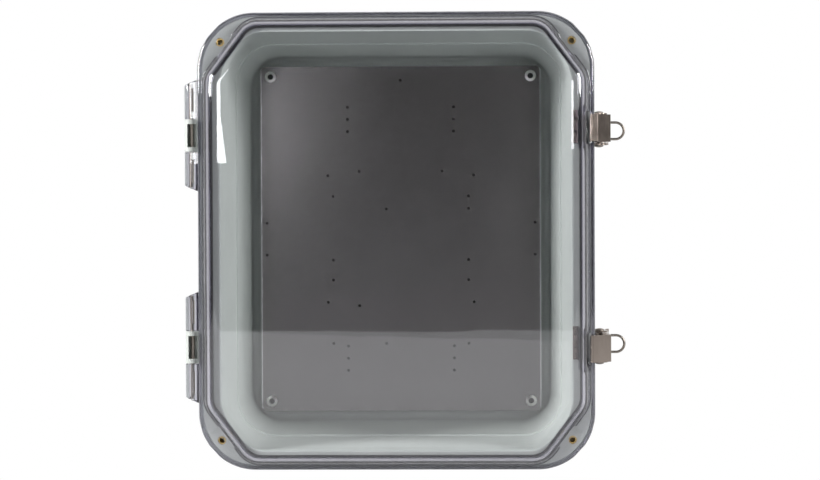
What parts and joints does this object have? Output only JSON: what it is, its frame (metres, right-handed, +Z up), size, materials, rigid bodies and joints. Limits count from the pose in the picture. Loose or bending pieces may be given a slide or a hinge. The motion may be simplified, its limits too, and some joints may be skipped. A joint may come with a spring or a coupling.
{
  "type": "weatherproof enclosure",
  "caption": "Weatherproof wall enclosure with a grey moulded base, a clear domed hinged cover, stainless over-centre latches with padlock loops and a drilled back panel.",
  "frame": {"origin": "middle of the back face, on the wall", "axes": "+X to the right seen from the front, +Z up, the cover faces -Y and the wall is towards +Y"},
  "size_m": [0.3235, 0.1725, 0.33],
  "materials": {
    "grey_moulding": "fine moulded texture",
    "clear_moulding": "clear, polished",
    "seal_rubber": "matt",
    "panel_aluminium": "rolled sheet, satin",
    "stainless": "pressed sheet and wire, satin",
    "brass": "turned"
  },
  "bodies": {
    "base": {"enclosure_base": "grey_moulding", "gasket": "seal_rubber", "back_panel": "panel_aluminium", "panel_screws": "stainless", "panel_inserts": "brass", "flange_inserts": "brass", "wall_inserts": "brass", "hinge_pin_upper": "stainless", "hinge_pin_lower": "stainless", "latch_screws": "stainless", "latch_nuts": "stainless", "backing_screws": "stainless", "upper_latch_bracket": "stainless", "upper_latch_staple": "stainless", "upper_backing_plate": "stainless", "upper_lever_pin": "stainless", "lower_latch_bracket": "stainless", "lower_latch_staple": "stainless", "lower_backing_plate": "stainless", "lower_lever_pin": "stainless"},
    "cover": {"cover": "clear_moulding"},
    "upper_lever": {"upper_latch_lever": "stainless", "upper_claw_pin": "stainless"},
    "upper_claw": {"upper_latch_claw": "stainless"},
    "lower_lever": {"lower_latch_lever": "stainless", "lower_claw_pin": "stainless"},
    "lower_claw": {"lower_latch_claw": "stainless"}
  },
  "joints": [
    {"name": "cover_hinge", "type": "hinge", "parent": "base", "child": "cover", "pos_m": [-0.149, -0.132, 0], "axis": [0, 0, -1], "range_deg": [0, 180]},
    {"name": "upper_latch_lever_hinge", "type": "hinge", "parent": "base", "child": "upper_lever", "pos_m": [0.148, -0.118, 0.0808], "axis": [0, 0, -1], "range_deg": [0, 100]},
    {"name": "upper_latch_claw_hinge", "type": "hinge", "parent": "upper_lever", "child": "upper_claw", "pos_m": [0.1495, -0.1115, 0.0808], "axis": [0, 0, -1], "range_deg": [-130, 0]},
    {"name": "lower_latch_lever_hinge", "type": "hinge", "parent": "base", "child": "lower_lever", "pos_m": [0.148, -0.118, -0.078], "axis": [0, 0, -1], "range_deg": [0, 100]},
    {"name": "lower_latch_claw_hinge", "type": "hinge", "parent": "lower_lever", "child": "lower_claw", "pos_m": [0.1495, -0.1115, -0.078], "axis": [0, 0, -1], "range_deg": [-130, 0]}
  ],
  "couplings": [
    {"joint": "upper_latch_claw_hinge", "follows": "upper_latch_lever_hinge", "ratio": -1.3},
    {"joint": "lower_latch_claw_hinge", "follows": "lower_latch_lever_hinge", "ratio": -1.3}
  ]
}
